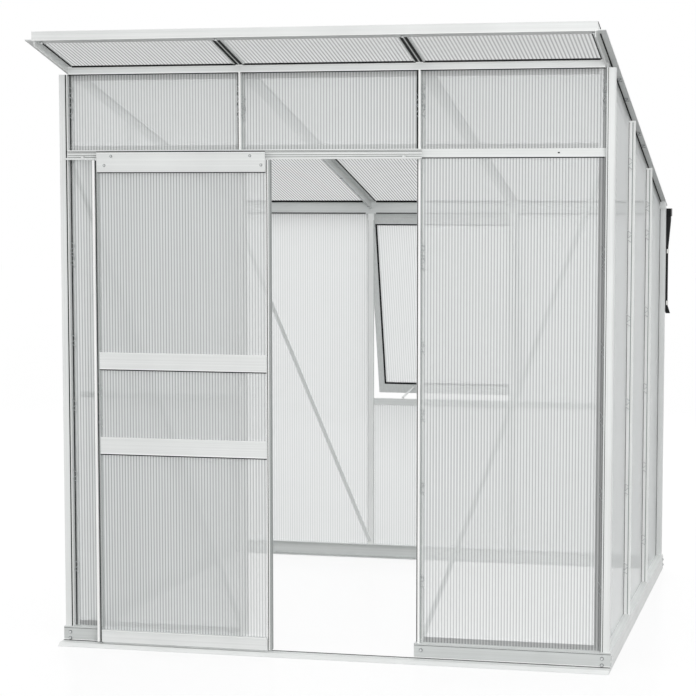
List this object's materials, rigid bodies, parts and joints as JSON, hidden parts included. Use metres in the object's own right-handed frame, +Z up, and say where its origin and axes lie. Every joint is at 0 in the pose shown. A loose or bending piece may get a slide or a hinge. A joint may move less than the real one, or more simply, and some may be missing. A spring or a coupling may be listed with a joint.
{
  "type": "lean to greenhouse",
  "caption": "Small free-standing pent-roof greenhouse: aluminium bars, twin-wall clear sheets, hanging sliding door, top-hung rear vent window, gutter and downpipe.",
  "frame": {"origin": "on the ground, under the middle of the bounding box, with the door slid open and the vent window a little open as in the picture", "axes": "+Z up; the high front wall with the sliding door faces -Y, the low rear wall with the vent window and gutter faces +Y; +X is to the right when looking at the front"},
  "size_m": [1.945, 2.4234, 2.1066],
  "materials": {
    "aluminium": "satin mill finish",
    "twin_wall_sheet": "translucent, finely ribbed",
    "black_plastic": "satin",
    "roller_nylon": "satin"
  },
  "bodies": {
    "frame": {"front_sill": "aluminium", "base_rail_rear": "aluminium", "base_rail_left": "aluminium", "corner_post_front_left": "aluminium", "corner_post_rear_left": "aluminium", "mullion_front_left": "aluminium", "mullion_rear_left": "aluminium", "side_stud_left_1": "aluminium", "side_stud_left_2": "aluminium", "sheet_side_left_1": "twin_wall_sheet", "sheet_side_left_2": "twin_wall_sheet", "sheet_side_left_3": "twin_wall_sheet", "roof_edge_beam_left": "aluminium", "rafter_left": "aluminium", "brace_front_left": "aluminium", "base_rail_right": "aluminium", "corner_post_front_right": "aluminium", "corner_post_rear_right": "aluminium", "mullion_front_right": "aluminium", "mullion_rear_right": "aluminium", "side_stud_right_1": "aluminium", "side_stud_right_2": "aluminium", "sheet_side_right_1": "twin_wall_sheet", "sheet_side_right_2": "twin_wall_sheet", "sheet_side_right_3": "twin_wall_sheet", "roof_edge_beam_right": "aluminium", "rafter_right": "aluminium", "brace_front_right": "aluminium", "brace_rear_left": "aluminium", "eave_beam_front": "aluminium", "eave_beam_rear": "aluminium", "roof_fascia": "aluminium", "door_track": "aluminium", "transom_right": "aluminium", "sheet_front_upper_left": "twin_wall_sheet", "sheet_front_upper_middle": "twin_wall_sheet", "sheet_front_upper_right": "twin_wall_sheet", "sheet_front_lower_left": "twin_wall_sheet", "sheet_front_lower_right": "twin_wall_sheet", "sheet_rear_left": "twin_wall_sheet", "sheet_rear_middle": "twin_wall_sheet", "sheet_rear_right": "twin_wall_sheet", "sheet_roof_left": "twin_wall_sheet", "sheet_roof_middle": "twin_wall_sheet", "sheet_roof_right": "twin_wall_sheet", "vent_sill_rail": "aluminium", "gutter_outlet": "black_plastic", "downpipe": "black_plastic"},
    "door": {"door_stile_left": "aluminium", "door_stile_right": "aluminium", "door_hanger_rail": "aluminium", "door_bottom_rail": "aluminium", "door_mid_rail_lower": "aluminium", "door_mid_rail_upper": "aluminium", "door_sheet": "twin_wall_sheet"},
    "roller_left": {"door_roller_left": "roller_nylon"},
    "roller_right": {"door_roller_right": "roller_nylon"},
    "vent": {"vent_sash_frame": "aluminium", "vent_pane": "twin_wall_sheet"},
    "stay": {"vent_stay": "aluminium"}
  },
  "joints": [
    {"name": "door_slide", "type": "slide", "parent": "frame", "child": "door", "axis": [1, 0, 0], "range_m": [-0.1, 0.509]},
    {"name": "roller_left_spin", "type": "hinge", "parent": "door", "child": "roller_left", "pos_m": [-0.7635, -0.93966, 1.7063], "axis": [0, 1, 0], "continuous": true},
    {"name": "roller_right_spin", "type": "hinge", "parent": "door", "child": "roller_right", "pos_m": [-0.2695, -0.93966, 1.7063], "axis": [0, 1, 0], "continuous": true},
    {"name": "vent_hinge", "type": "hinge", "parent": "frame", "child": "vent", "pos_m": [-0.0075, 0.99934, 1.492], "axis": [1, 0, 0], "range_deg": [-14.4, 30.6]},
    {"name": "vent_stay_hinge", "type": "hinge", "parent": "vent", "child": "stay", "pos_m": [-0.1775, 1.18289, 0.73692], "axis": [1, 0, 0], "range_deg": [-78, 0]}
  ],
  "couplings": [
    {"joint": "roller_left_spin", "follows": "door_slide", "rad_per_m": 100},
    {"joint": "roller_right_spin", "follows": "door_slide", "rad_per_m": 100}
  ]
}
